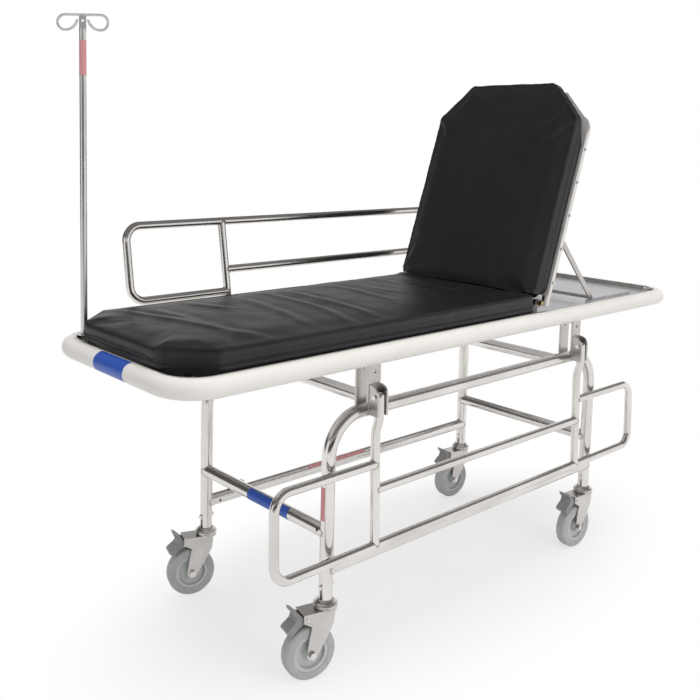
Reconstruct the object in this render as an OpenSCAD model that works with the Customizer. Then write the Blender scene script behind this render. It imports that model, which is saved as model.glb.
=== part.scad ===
// Wheeled patient transport stretcher: tubular side frames on four braked swivel casters,
// a padded deck in a bumper rim, a tilting backrest on a prop bail, two swing-down side
// rails and a lift-out infusion pole. Millimetres, +X to the head end, +Z up, origin on
// the floor at the centre of the wheelbase.

/* [Frame] */
// Distance between the foot legs and the head legs, centre to centre
wheelbase = 1071; // [1000:1:1150]
// Distance between the two side frames, centre to centre
track = 477.6; // [460:0.2:490]
// Outside diameter of the frame tubes
frame_tube = 32; // [28:0.5:34]
// Height of the upper side tubes' centre line
top_tube_z = 601; // [580:1:640]
// Centre line radius of the side frames' upper corners
side_bend = 95; // [80:1:100]
// Height of the lower side tubes' centre line
lower_side_z = 249; // [245:1:270]
// Height of the lower cross tubes' centre line
lower_cross_z = 336; // [310:1:370]
// Distance between the upper cross tubes, centre to centre
upper_cross_span = 708; // [640:1:730]

/* [Deck] */
// Overall length over the bumper
deck_length = 1930; // [1900:1:1980]
// Overall width over the bumper
deck_width = 566; // [560:1:580]
// Height of the bumper section
bumper_size = 44; // [40:1:48]
// Depth of the bumper section behind its round nose
bumper_back = 8; // [5:0.5:12]
// Radius of the bumper's centre line at the deck corners
deck_corner = 83; // [78:1:95]
// Height of the deck's underside above the upper side tubes' centre line
deck_rise = 111; // [105:1:125]
// Height of the deck sheet's top face above the deck's underside
sheet_rise = 30; // [26:0.5:32]
// Thickness of the deck sheet
sheet_t = 2.5; // [1.5:0.1:3.5]
// Thickness of the deck frame's upright wall
rim_wall = 4; // [3:0.1:5]
// Thickness of the deck frame's flanges
flange_t = 3; // [2:0.1:4]
// Width of the ledge that carries the deck sheet
ledge_w = 24; // [18:1:30]

/* [Hangers] */
// Distance between the hangers along the deck, centre to centre
hanger_span = 836; // [800:1:860]
// Width of a hanger along the deck
hanger_w = 39; // [34:1:44]
// Thickness of the hanger plates
hanger_t = 6; // [4:0.5:7]
// Diameter of the hole in each hanger plate
hanger_hole = 9; // [6:0.5:12]
// Diameter of the bolt from a hanger into the deck frame
hanger_bolt = 8; // [6:0.5:10]

/* [Side rails] */
// Outside diameter of the rail tubes
rail_tube = 22; // [20:0.5:24]
// Distance between the rails' vertical end bars, centre to centre
rail_length = 1438; // [1380:1:1480]
// Distance from the pivot to the top bar
rail_height = 356; // [340:1:370]
// Distance from the pivot to the middle bar
rail_mid = 222; // [205:1:260]
// Distance from the pivot to the return bars
rail_return = 161.5; // [150:0.5:175]
// Centre line radius of the rails' corners
rail_corner = 40; // [30:1:55]
// Sideways step of the posts
rail_step = 12; // [8:0.5:12.5]
// Distance from the pivot to the start of the step
step_start = 38; // [37:1:44]
// Outward lean of the raised rail
lean_up = 9.4; // [8:0.1:11]
// Outward lean of the lowered rail
lean_down = 1.5; // [1.2:0.1:4]
// Height of the rail pivots above the upper side tubes' centre line
pivot_rise = 39; // [34:1:46]
// Diameter of the rail pivot pins
rail_pin = 8; // [6:0.5:10]
// Thickness of the rail brackets' ears
ear_t = 5.5; // [4:0.5:7]
// Thickness of the rail brackets' back plates
bracket_t = 3; // [2:0.5:5]
// Height of the rail brackets
bracket_h = 70; // [60:1:76]

/* [Backrest] */
// Angle of the raised backrest above the deck
back_angle = 71.3; // [50:0.1:75]
// Distance of the backrest hinge from the deck's centre
hinge_x = 270.6; // [262:0.2:290]
// Height of the backrest hinge above the deck sheet
hinge_rise = 33; // [32:0.5:38]
// Diameter of the backrest hinge pins
hinge_pin = 8; // [6:0.5:9]
// Outside diameter of the backrest tube
back_tube = 25.4; // [22:0.2:26]
// Distance from the hinge to the backrest's top cross tube
back_height = 560; // [540:1:580]
// Centre line radius of the backrest tube's corners
back_corner = 45; // [35:1:60]
// Height of the backrest screws' heads
screw_head = 2.4; // [1.5:0.1:2.8]
// Spacing of the backrest screws
screw_pitch = 99.5; // [85:0.5:105]
// Length of the prop struts between their pivots
strut_length = 291; // [280:1:300]
// Distance along the backrest from the hinge to the prop's pivots
prop_pivot = 215; // [200:1:222]
// Width of the prop struts
strut_w = 16; // [13:0.5:18]
// Thickness of the prop struts
strut_t = 5; // [4:0.25:5.5]
// Diameter of the prop's cross rod
prop_rod = 10; // [8:0.5:12]
// Diameter of the prop's pivot pins
prop_pin = 8; // [6:0.5:9]
// Height of the notched racks
rack_h = 12; // [9:0.5:13]
// Thickness of the notched racks
rack_t = 5; // [3:0.5:7]
// Spacing of the rack notches
rack_pitch = 25.6; // [20:0.2:26]
// Number of rack notches
rack_notches = 10; // [6:1:10]

/* [Pads] */
// Height of the seat pad's top seam above the deck sheet
seat_h = 63.5; // [56:0.5:64]
// Half width of the seat pad
seat_half_w = 253; // [240:1:254]
// Distance of the seat pad's foot end from the deck's centre
seat_foot = 940; // [930:1:942]
// Distance of the seat pad's head end from the deck's centre
seat_head = 243; // [220:1:244]
// Length of the seat pad's corner cuts along the deck
seat_cut = 101; // [98:1:110]
// Half width of the seat pad's foot edge
seat_foot_half = 155; // [130:1:156]
// Rise of the pads' crowns
pad_crown = 6; // [2:0.5:9]
// Half width of the back pad
back_half_w = 257; // [240:1:262]
// Length of the back pad
back_pad_l = 628; // [600:1:640]
// Length of the back pad's corner cuts along the backrest
back_cut = 106; // [80:1:120]
// Half width of the back pad's top edge
back_top_half = 152; // [130:1:170]
// Distance from the hinge to the back pad's lower edge
back_pad_start = 15; // [14:0.5:20]
// Distance from the hinge line to the back pad's front seam
back_pad_front = 55; // [45:0.5:56]

/* [Infusion pole] */
// Diameter of the pole
pole_d = 15.9; // [12:0.1:18]
// Height of the hook's bar above the floor
pole_top = 1490; // [1300:1:1600]
// Wall of the pole sockets
socket_wall = 5.5; // [3:0.5:6]
// Depth of the pole sockets
socket_depth = 44; // [38:1:54]
// Length of the hook's straight bar
hook_bar = 80; // [70:1:100]
// Centre line radius of the hook's round ends
hook_r = 17; // [14:0.5:22]
// Diameter of the hook's wire
hook_wire = 6; // [5:0.2:8]
// Turn of the hook about the pole
hook_turn = -41; // [-90:1:90]

/* [Casters] */
// Diameter of the wheels
wheel_d = 127; // [110:1:132]
// Width of the tyres
wheel_w = 32; // [26:0.5:36]
// Diameter of the wheels' hard core
core_d = 88; // [76:1:96]
// Width of the wheels' hub boss
hub_w = 36; // [36:0.5:42]
// Height of the leg ends above the floor
caster_h = 172; // [168:1:180]
// Distance from the swivel axis to the wheel's axle
trail = 42; // [38:1:46]
// Thickness of the fork's sheet
fork_t = 3; // [2:0.25:4]
// Diameter of the swivel head
head_d = 54; // [48:1:60]
// Thickness of the swivel head
head_h = 10; // [8:0.5:12]
// Diameter of the caster stems
stem_d = 24; // [20:0.5:25]
// Length of the caster stems
stem_l = 62; // [50:1:66]
// Diameter of the cross bolts that hold the stems
stem_bolt = 6; // [5:0.5:8]
// Height of the cross bolts above the leg ends
stem_bolt_rise = 38; // [34:1:44]
// Width of the slits in the leg ends
slit_w = 3; // [2:0.5:4]
// Height of the slits in the leg ends
slit_h = 30; // [20:1:32]
// Diameter of the king pins
king_d = 12; // [10:0.5:14]
// Diameter of the wheel axles
axle_d = 10; // [8:0.5:12]
// Diameter of the brake pedals' pins
pedal_pin = 6; // [5:0.5:7]
// Width of the brake pedals
pedal_w = 35; // [28:0.5:35]
// Turn of each caster: foot far, foot near, head far, head near
caster_turn = [-19.4, -14, -6.4, -4]; // [-30:0.1:30]

/* [Hidden] */
$fn = 48;

// Clearances: welded or seated pieces, soft pieces, running fits, free sides
seat_gap = 0.1;
soft_gap = 0.3;
run_gap = 0.05;
side_gap = 0.7;
eps = 1;

steel = [0.76, 0.76, 0.77];
vinyl = [0.13, 0.13, 0.14];
cream = [0.85, 0.84, 0.81];
brass = [0.72, 0.58, 0.32];
grey_rubber = [0.55, 0.56, 0.56];
grey_plastic = [0.66, 0.68, 0.67];
dark_plastic = [0.29, 0.29, 0.30];

// Frame
leg_x = wheelbase / 2;
leg_y = track / 2;
upper_cross_x = upper_cross_span / 2;
hanger_x = hanger_span / 2;
plate_in = leg_y - frame_tube / 2 - seat_gap;
plate_out = leg_y + frame_tube / 2 + seat_gap;
hanger_low = top_tube_z - 6;

// Deck
deck_low = top_tube_z + deck_rise;
rim_top = deck_low + bumper_size;
deck_top = deck_low + sheet_rise;
nose_r = bumper_size / 2;
path_x = deck_length / 2 - nose_r;
path_y = deck_width / 2 - nose_r;
rim_x = path_x - bumper_back - seat_gap;
rim_y = path_y - bumper_back - seat_gap;
rim_r = deck_corner - bumper_back - seat_gap;
in_x = rim_x - rim_wall;
in_y = rim_y - rim_wall;
in_r = rim_r - rim_wall;
ledge_top = deck_top - sheet_t - seat_gap;

// Hanger bolts stand over the side tubes, or inboard of the hangers under a narrower deck
bolt_head = hanger_bolt * 1.6;
bolt_room = bolt_head / 2 + seat_gap;
bolt_y = leg_y + bolt_room < in_y ? leg_y : plate_in - hanger_t - bolt_room;
web_in = min(plate_in - hanger_t, bolt_y - bolt_room);
flange_y = min(plate_in - hanger_t / 2, in_y - ledge_w, bolt_y - bolt_room);

// Pole sockets stand in the rim's corners
socket_r = pole_d / 2 + run_gap * 2 + socket_wall;
socket_off = (in_r - socket_r - seat_gap) * sqrt(0.5);
socket_x = in_x - in_r + socket_off;
socket_y = in_y - in_r + socket_off;
socket_floor = 4;
socket_low = rim_top - socket_depth - socket_floor;

// Rail pivots
bracket_in = plate_out + hanger_t + seat_gap;
pivot_y = max(deck_width / 2 - 5, bracket_in + bracket_t + rail_tube / 2 + 1.4);
pivot_z = top_tube_z + pivot_rise;
bracket_low = hanger_low + 1;
bracket_gap = rail_tube + 2;
ear_y = pivot_y + rail_tube / 2;
post_x = hanger_x;
end_x = rail_length / 2;
step_length = 5 * rail_step;
step_angle = atan2(5, 12);
step_r = step_length / (2 * sin(step_angle));
step_tube = rail_tube - 0.2;
step_lap = 1;
step_over = 1.5;
pin_over = 3;

// Backrest, in its own frame: x up the backrest, z out of its front face
hinge_z = deck_top + hinge_rise;
tube_drop = hinge_rise - back_tube / 2 - 0.8;
tube_y = in_y - side_gap - screw_head - back_tube / 2 - 0.1;
tube_in = tube_y - back_tube / 2;
swing_gap = 0.5;
tube_reach = sqrt(pow(hinge_rise - swing_gap, 2) - pow(tube_drop + back_tube / 2, 2));
tube_start = -floor(10 * tube_reach) / 10;
lug_t = 4.5;
lug_in = tube_in + 1 - lug_t;
ear_gap = 0.5;
hinge_ear_t = 5;
hinge_ear_in = lug_in - ear_gap - hinge_ear_t;
hinge_ear_r = 10;
panel_t = 2;
panel_low = -tube_drop + back_tube / 2 + seat_gap;
back_pad_low = panel_low + panel_t + soft_gap;
panel_inset = 9;
strut_out = tube_in - side_gap;
strut_in = strut_out - strut_t;
rack_out = strut_in - side_gap;
rod_z = deck_top + rack_h + soft_gap + prop_rod / 2;
prop_x = hinge_x + prop_pivot * cos(back_angle) + tube_drop * sin(back_angle);
prop_z = hinge_z + prop_pivot * sin(back_angle) - tube_drop * cos(back_angle);
prop_fall = asin((prop_z - rod_z) / strut_length);
rod_x = prop_x + strut_length * cos(prop_fall);
rack_lead = 12;
rack_room = socket_x - socket_r - side_gap - rack_lead - rod_x;
rack_count = min(rack_notches, 1 + floor(rack_room / rack_pitch));
first_screw = 65;
screw_count = 5;
screw_d = 5;
screw_depth = 8;

// Pads
pad_r = 30;
corner_steps = 6;
seat_low = deck_top + soft_gap;
head_span = 60;
head_drop = 7;

// The seat pad's corner cuts leave room for a pole in the foot sockets
pole_room = 3;
cut_along = unit([seat_cut, seat_half_w - seat_foot_half]);
cut_out = [-cut_along[1], cut_along[0]];
cut_gap = cut_out * [seat_foot - seat_cut - socket_x, socket_y - seat_half_w] - pole_d / 2;
cut_more = max(0, pole_room - cut_gap);
corner_x = seat_cut + cut_more / cut_along[1];
corner_y = seat_foot_half - cut_more / cut_along[0];

// Casters: x is forward of the swivel axis, the wheel trails behind it
caster_side = [[-1, 1], [-1, -1], [1, 1], [1, -1]];
axle_z = wheel_d / 2;
head_low = caster_h - head_h;
crown_top = head_low - 0.4;
crown_low = crown_top - fork_t - 1;
fork_in = hub_w / 2 + 1;
fork_out = fork_in + fork_t;
fork_back = trail + 23;
fork_front = 14;
axle_eye = 13;
axle_head = 6;
king_nut_w = 19;
king_nut_h = 8;
pedal_x = -trail - 13;
pedal_z = crown_low - 8.5;
pedal_eye = 8;
stem_bolt_z = caster_h + stem_bolt_rise;
cheek_rise = 32;

// Bars along the axes, from one coordinate to the other
module bar_x(a, b, d) {
  translate([a, 0, 0])
    rotate([0, 90, 0])
      cylinder(h = b - a, d = d);
}

module bar_y(a, b, d) {
  translate([0, a, 0])
    rotate([-90, 0, 0])
      cylinder(h = b - a, d = d);
}

module bar_z(a, b, d) {
  translate([0, 0, a])
    cylinder(h = b - a, d = d);
}

// Bent bar about the origin, in the XY plane
module bend(r, start, sweep, d) {
  rotate([0, 0, start])
    rotate_extrude(angle = sweep)
      translate([r, 0])
        circle(d = d);
}

module bend_xz(r, start, sweep, d) {
  rotate([90, 0, 0])
    bend(r, start, sweep, d);
}

module bend_yz(r, start, sweep, d) {
  rotate([90, 0, 90])
    bend(r, start, sweep, d);
}

// Half ball below the XY plane, with a small flat at its tip
module ball_end(d) {
  flat = 0.2;
  rotate_extrude()
    intersection() {
      circle(d = d);
      translate([0, flat - d / 2])
        square([d, d / 2 - flat]);
    }
}

// Plate with round corners
module slab(half_x, half_y, r, h) {
  linear_extrude(height = h) {
    square([2 * (half_x - r), 2 * half_y], center = true);
    square([2 * half_x, 2 * (half_y - r)], center = true);
    for (sx = [-1, 1], sy = [-1, 1])
      translate([sx * (half_x - r), sy * (half_y - r)])
        circle(r = r);
  }
}

// Same piece on both sides of the centre plane
module both_sides() {
  children();
  mirror([0, 1, 0])
    children();
}

module four_hangers() {
  for (sx = [-1, 1])
    both_sides()
      translate([sx * hanger_x, 0, 0])
        children();
}

module four_sockets() {
  for (sx = [-1, 1], sy = [-1, 1])
    translate([sx * socket_x, sy * socket_y, 0])
      children();
}

module at_leg(i) {
  translate([caster_side[i][0] * leg_x, caster_side[i][1] * leg_y, 0])
    children();
}

module at_caster(i) {
  at_leg(i)
    rotate([0, 0, caster_turn[i]])
      children();
}

module on_back() {
  translate([hinge_x, 0, hinge_z])
    rotate([0, -back_angle, 0])
      children();
}

// Side frame: one tube bent to an arch, bored at the feet for the caster stems
module side_frame(side) {
  color(steel)
    translate([0, side * leg_y, 0])
      difference() {
        union() {
          for (s = [-1, 1]) {
            translate([s * leg_x, 0, 0])
              bar_z(caster_h + seat_gap, top_tube_z - side_bend, frame_tube);
            translate([s * (leg_x - side_bend), 0, top_tube_z - side_bend])
              mirror([s < 0 ? 1 : 0, 0, 0])
                bend_xz(side_bend, 0, 90, frame_tube);
          }
          translate([0, 0, top_tube_z])
            bar_x(side_bend - leg_x, leg_x - side_bend, frame_tube);
        }
        for (s = [-1, 1])
          translate([s * leg_x, 0, 0]) {
            bar_z(caster_h - eps, caster_h + stem_l + eps, stem_d + 2 * seat_gap);
            translate([0, 0, stem_bolt_z])
              bar_x(-frame_tube, frame_tube, stem_bolt + 2 * seat_gap);
            translate([-frame_tube, -slit_w / 2, caster_h - eps])
              cube([frame_tube, slit_w, slit_h + eps]);
          }
      }
}

module side_frame_near() {
  side_frame(-1);
}

module side_frame_far() {
  side_frame(1);
}

module leg_cuts() {
  for (sx = [-1, 1], sy = [-1, 1])
    translate([sx * leg_x, sy * leg_y, 0])
      bar_z(caster_h, top_tube_z, frame_tube + 2 * seat_gap);
}

module lower_side_tubes() {
  color(steel)
    difference() {
      both_sides()
        translate([0, leg_y, lower_side_z])
          bar_x(-leg_x, leg_x, frame_tube);
      leg_cuts();
    }
}

module lower_cross_tubes() {
  color(steel)
    difference() {
      for (s = [-1, 1])
        translate([s * leg_x, 0, lower_cross_z])
          bar_y(-leg_y, leg_y, frame_tube);
      leg_cuts();
    }
}

module upper_cross_tubes() {
  color(steel)
    difference() {
      for (s = [-1, 1])
        translate([s * upper_cross_x, 0, top_tube_z])
          bar_y(-leg_y, leg_y, frame_tube);
      both_sides()
        translate([0, leg_y, top_tube_z])
          bar_x(-leg_x, leg_x, frame_tube + 2 * seat_gap);
    }
}

// Saddle over the upper side tube: two plates and a top web under the deck frame
module hanger() {
  hole_z = deck_low - 17;
  difference() {
    union() {
      translate([-hanger_w / 2, plate_in - hanger_t, hanger_low])
        cube([hanger_w, hanger_t, deck_low - seat_gap - hanger_low]);
      translate([-hanger_w / 2, plate_out, hanger_low])
        cube([hanger_w, hanger_t, deck_low - seat_gap - hanger_low]);
      translate([-hanger_w / 2, web_in, deck_low - seat_gap - hanger_t])
        cube([hanger_w, plate_out + hanger_t - web_in, hanger_t]);
    }
    translate([0, 0, hole_z])
      bar_y(plate_in - 2 * hanger_t, plate_out + 2 * hanger_t, hanger_hole);
    translate([0, bolt_y, 0])
      bar_z(hole_z, deck_low + eps, hanger_bolt + 2 * seat_gap);
  }
}

module hangers() {
  color(steel)
    four_hangers()
      hanger();
}

module hanger_bolts() {
  head_h = hanger_bolt * 0.65;
  web_low = deck_low - seat_gap - hanger_t;
  color(steel)
    four_hangers()
      translate([0, bolt_y, 0]) {
        bar_z(web_low - head_h, deck_low + flange_t + head_h, hanger_bolt);
        translate([0, 0, web_low - seat_gap - head_h])
          cylinder(h = head_h, d = bolt_head, $fn = 6);
        translate([0, 0, deck_low + flange_t + seat_gap])
          cylinder(h = head_h, d = bolt_head, $fn = 6);
      }
}

// Channel rim: upright wall, lower flange on the hangers, ledge under the sheet
module deck_frame() {
  color(steel)
    difference() {
      translate([0, 0, deck_low])
        slab(rim_x, rim_y, rim_r, bumper_size);
      translate([0, 0, ledge_top])
        slab(in_x, in_y, in_r, bumper_size);
      translate([0, 0, deck_low - eps])
        slab(in_x - ledge_w, flange_y, in_r - ledge_w / 2, bumper_size);
      translate([0, 0, deck_low + flange_t])
        slab(in_x, in_y, in_r, ledge_top - flange_t - deck_low - flange_t);
      four_sockets()
        bar_z(deck_low - eps, rim_top + eps, 2 * (socket_r + seat_gap));
      four_hangers()
        translate([0, bolt_y, 0])
          bar_z(deck_low - eps, deck_low + 2 * flange_t, hanger_bolt + 2 * seat_gap);
    }
}

module deck_panel() {
  color([0.78, 0.78, 0.80])
    difference() {
      translate([0, 0, deck_top - sheet_t])
        slab(in_x - seat_gap, in_y - seat_gap, in_r - seat_gap, sheet_t);
      four_sockets()
        bar_z(deck_low, rim_top, 2 * (socket_r + seat_gap));
    }
}

// Bumper: round nose outside, flat back against the rim
module nose() {
  intersection() {
    circle(r = nose_r);
    translate([-bumper_back, -nose_r])
      square([bumper_back + nose_r, 2 * nose_r]);
  }
}

module bumper() {
  run_x = path_x - deck_corner;
  run_y = path_y - deck_corner;
  color(cream)
    translate([0, 0, deck_low + nose_r]) {
      both_sides()
        translate([-run_x, path_y, 0])
          rotate([90, 0, 90])
            linear_extrude(height = 2 * run_x)
              nose();
      for (s = [0, 1])
        mirror([s, 0, 0]) {
          translate([path_x, run_y, 0])
            rotate([90, 0, 0])
              linear_extrude(height = 2 * run_y)
                nose();
          both_sides()
            translate([run_x, run_y, 0])
              rotate_extrude(angle = 90)
                translate([deck_corner, 0])
                  nose();
        }
    }
}

module pole_sockets() {
  color(steel)
    four_sockets()
      difference() {
        bar_z(socket_low, rim_top, 2 * socket_r);
        bar_z(socket_low + socket_floor, rim_top + eps, pole_d + 4 * run_gap);
      }
}

// Pads: a cut-cornered outline with round corners, stacked in rings from the underside
// through the side seams to the crown
function unit(v) = v / norm(v);
function out_normal(a, b) = let (d = unit(b - a)) [d[1], -d[0]];
function corner_ring(outline, inset) = [
  for (i = [0:len(outline) - 1])
    let (
      n = len(outline),
      here = outline[i],
      n1 = out_normal(outline[(i + n - 1) % n], here),
      n2 = out_normal(here, outline[(i + 1) % n]),
      r = max(pad_r - inset, soft_gap),
      centre = here - (inset + r) * (n1 + n2) / (1 + n1 * n2),
      a1 = atan2(n1[1], n1[0]),
      turn = (atan2(n2[1], n2[0]) - a1 + 720) % 360
    )
    for (k = [0:corner_steps])
      let (a = a1 + turn * k / corner_steps)
      centre + r * [cos(a), sin(a)]
];
function lift(ring, z) = [for (p = ring) [p[0], p[1], z]];
function shrink(ring, c, s) = [for (p = ring) c + s * (p - c)];
function middle(outline) =
  let (xs = [for (p = outline) p[0]]) [(min(xs) + max(xs)) / 2, 0];

// Height of the side seam groove and the crown rings above the underside
function pad_rings(outline, low, seam, top, crown, tuck) =
  let (
    edge = corner_ring(outline, 9),
    c = middle(outline)
  )
  concat(
    [
      for (q = [
        [tuck + 3.5, low], [tuck, low + 4], [tuck - 0.5, low + 15],
        [3, seam - 7], [1.5, seam - 3], [4.5, seam], [1.5, seam + 3],
        [0, (seam + top) / 2], [1, top - 6], [3.5, top - 1.5]
      ])
        lift(corner_ring(outline, q[0]), q[1])
    ],
    [lift(edge, top)],
    [for (s = [0.94, 0.82, 0.62, 0.35]) lift(shrink(edge, c, s), top + crown * (1 - s * s))]
  );

module pad_solid(rings, c, low, top) {
  n = len(rings[0]);
  m = len(rings);
  points = concat([for (r = rings) each r], [[c[0], c[1], low], [c[0], c[1], top]]);
  sides = [
    for (j = [0:m - 2], i = [0:n - 1])
      let (k = (i + 1) % n)
      each [
        [j * n + i, (j + 1) * n + k, j * n + k],
        [j * n + i, (j + 1) * n + i, (j + 1) * n + k]
      ]
  ];
  under = [for (i = [0:n - 1]) [i, (i + 1) % n, m * n]];
  over = [for (i = [0:n - 1]) [(m - 1) * n + (i + 1) % n, (m - 1) * n + i, m * n + 1]];
  polyhedron(points = points, faces = concat(sides, under, over), convexity = 4);
}

// The seat pad's head end is pressed down under the back pad
function press(p) =
  let (t = min(1, max(0, (p[0] - seat_head + head_span) / head_span)))
  [p[0], p[1], p[2] - head_drop * t * t * (p[2] - seat_low) / seat_h];

module seat_pad() {
  outline = [
    [seat_head, -seat_half_w], [seat_head, seat_half_w],
    [corner_x - seat_foot, seat_half_w], [-seat_foot, corner_y],
    [-seat_foot, -corner_y], [corner_x - seat_foot, -seat_half_w]
  ];
  top = deck_top + seat_h;
  tuck = max(seat_foot - in_x, seat_half_w - in_y) + 1.5;
  rings = pad_rings(outline, seat_low, seat_low + seat_h * 0.53, top, pad_crown, tuck);
  color(vinyl)
    pad_solid(
      [for (r = rings) [for (p = r) press(p)]], middle(outline), seat_low, top + pad_crown
    );
}

function back_outline(inset) = [
  [back_pad_start + inset, -back_half_w + inset],
  [back_pad_start + back_pad_l - back_cut, -back_half_w + inset],
  [back_pad_start + back_pad_l - inset, -back_top_half],
  [back_pad_start + back_pad_l - inset, back_top_half],
  [back_pad_start + back_pad_l - back_cut, back_half_w - inset],
  [back_pad_start + inset, back_half_w - inset]
];

module back_pad() {
  outline = back_outline(0);
  seam = (back_pad_low + back_pad_front) / 2;
  rings = pad_rings(outline, back_pad_low, seam, back_pad_front, pad_crown, 7);
  color(vinyl)
    on_back()
      pad_solid(rings, middle(outline), back_pad_low, back_pad_front + pad_crown);
}

module back_panel() {
  color(steel)
    on_back()
      translate([0, 0, panel_low])
        linear_extrude(height = panel_t)
          polygon(back_outline(panel_inset));
}

// Backrest frame: a U tube with hinge lugs, bored for the prop pins and the screws
module back_frame() {
  run = back_height - back_corner;
  color(steel)
    on_back()
      difference() {
        union() {
          both_sides() {
            translate([0, tube_y, -tube_drop])
              bar_x(tube_start, run, back_tube);
            translate([run, tube_y - back_corner, -tube_drop])
              bend(back_corner, 0, 90, back_tube);
            translate([-hinge_ear_r, lug_in, -tube_drop])
              cube([2 * hinge_ear_r, lug_t, tube_drop]);
            bar_y(lug_in, lug_in + lug_t, 2 * hinge_ear_r);
          }
          translate([back_height, 0, -tube_drop])
            bar_y(back_corner - tube_y, tube_y - back_corner, back_tube);
        }
        both_sides() {
          bar_y(lug_in - eps, tube_y, hinge_pin + 2 * run_gap);
          translate([prop_pivot, 0, -tube_drop])
            bar_y(tube_in - eps, tube_y, prop_pin + 2 * seat_gap);
          for (i = [0:screw_count - 1])
            translate([first_screw + i * screw_pitch, 0, -tube_drop])
              bar_y(
                tube_y + back_tube / 2 - screw_depth, tube_y + back_tube, screw_d + 2 * seat_gap
              );
        }
      }
}

module back_screws() {
  face = tube_y + back_tube / 2 + seat_gap;
  color(steel)
    on_back()
      both_sides()
        for (i = [0:screw_count - 1])
          translate([first_screw + i * screw_pitch, 0, -tube_drop]) {
            bar_y(face - screw_depth + eps, face, screw_d);
            bar_y(face, face + screw_head, screw_d * 1.8);
          }
}

module prop_pins() {
  color(steel)
    on_back()
      both_sides()
        translate([prop_pivot, 0, -tube_drop])
          bar_y(strut_in - 1, tube_y - eps, prop_pin);
}

// Prop bail: two flat struts joined by a rod that rests over the racks
module prop_bail() {
  color(steel)
    translate([prop_x, 0, prop_z])
      rotate([0, prop_fall, 0])
        difference() {
          union() {
            both_sides() {
              translate([0, strut_in, -strut_w / 2])
                cube([strut_length, strut_t, strut_w]);
              bar_y(strut_in, strut_out, strut_w);
              translate([strut_length, 0, 0])
                bar_y(strut_in, strut_out, strut_w);
            }
            translate([strut_length, 0, 0])
              bar_y(-strut_in, strut_in, prop_rod);
          }
          both_sides()
            bar_y(strut_in - eps, strut_out + eps, prop_pin + 2 * run_gap);
        }
}

module racks() {
  length = rack_lead * 2 + rack_pitch * (rack_count - 1);
  notch_d = prop_rod + 1;
  color(steel)
    both_sides()
      translate([rod_x - rack_lead, rack_out - rack_t, deck_top + seat_gap])
        difference() {
          cube([length, rack_t, rack_h - seat_gap]);
          for (i = [0:rack_count - 1])
            translate([rack_lead + i * rack_pitch, 0, rack_h])
              bar_y(-eps, rack_t + eps, notch_d);
        }
}

// Ears on the deck sheet that carry the backrest
module hinge_brackets() {
  foot_w = 26;
  foot_t = 3;
  color(steel)
    both_sides()
      translate([hinge_x, 0, 0])
        difference() {
          union() {
            translate([-hinge_ear_r, hinge_ear_in, deck_top + seat_gap])
              cube([2 * hinge_ear_r, hinge_ear_t, hinge_rise]);
            translate([0, 0, hinge_z])
              bar_y(hinge_ear_in, hinge_ear_in + hinge_ear_t, 2 * hinge_ear_r);
            translate([-foot_w / 2, hinge_ear_in - foot_w, deck_top + seat_gap])
              cube([foot_w, foot_w + hinge_ear_t, foot_t]);
          }
          translate([0, 0, hinge_z])
            bar_y(hinge_ear_in - eps, hinge_ear_in + hinge_ear_t + eps, hinge_pin + 2 * run_gap);
        }
}

module hinge_pins() {
  head_h = 3;
  head_w = hinge_pin + 3;
  color(brass)
    both_sides()
      translate([hinge_x, 0, hinge_z]) {
        bar_y(hinge_ear_in - head_h, tube_y + 6, hinge_pin);
        bar_y(hinge_ear_in - head_h - seat_gap, hinge_ear_in - seat_gap, head_w);
        bar_y(tube_y, tube_y + 6, head_w);
      }
}

// Rail bracket: back plate on the outer hanger plate and two round-topped ears
module ear_shape() {
  top = bracket_low + bracket_h;
  out = ear_y - bracket_in - bracket_t;
  corner = min(out, rail_tube + 1.5);
  translate([bracket_in, bracket_low])
    square([bracket_t, bracket_h]);
  translate([bracket_in + bracket_t, bracket_low])
    square([out, bracket_h - corner]);
  if (out - corner > seat_gap)
    translate([bracket_in + bracket_t, bracket_low])
      square([out - corner, bracket_h]);
  intersection() {
    translate([ear_y - corner, top - corner])
      circle(r = corner);
    translate([ear_y - corner, top - corner])
      square([corner, corner]);
  }
}

module rail_brackets() {
  half = bracket_gap / 2;
  color(steel)
    four_hangers()
      difference() {
        union() {
          for (x = [-half - ear_t, half])
            translate([x, 0, 0])
              rotate([90, 0, 90])
                linear_extrude(height = ear_t)
                  ear_shape();
          translate([-half, bracket_in, bracket_low])
            cube([2 * half, bracket_t, bracket_h]);
        }
        translate([0, pivot_y, pivot_z])
          bar_x(-half - 2 * ear_t, half + 2 * ear_t, rail_pin + 2 * run_gap);
      }
}

module rail_pins() {
  half = bracket_gap / 2 + ear_t + seat_gap;
  color(steel)
    four_hangers()
      translate([0, pivot_y, pivot_z]) {
        bar_x(-half, half, rail_pin);
        bar_x(half, half + pin_over, rail_pin + 4);
        bar_x(-half - pin_over, -half, rail_pin + 4);
      }
}

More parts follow.
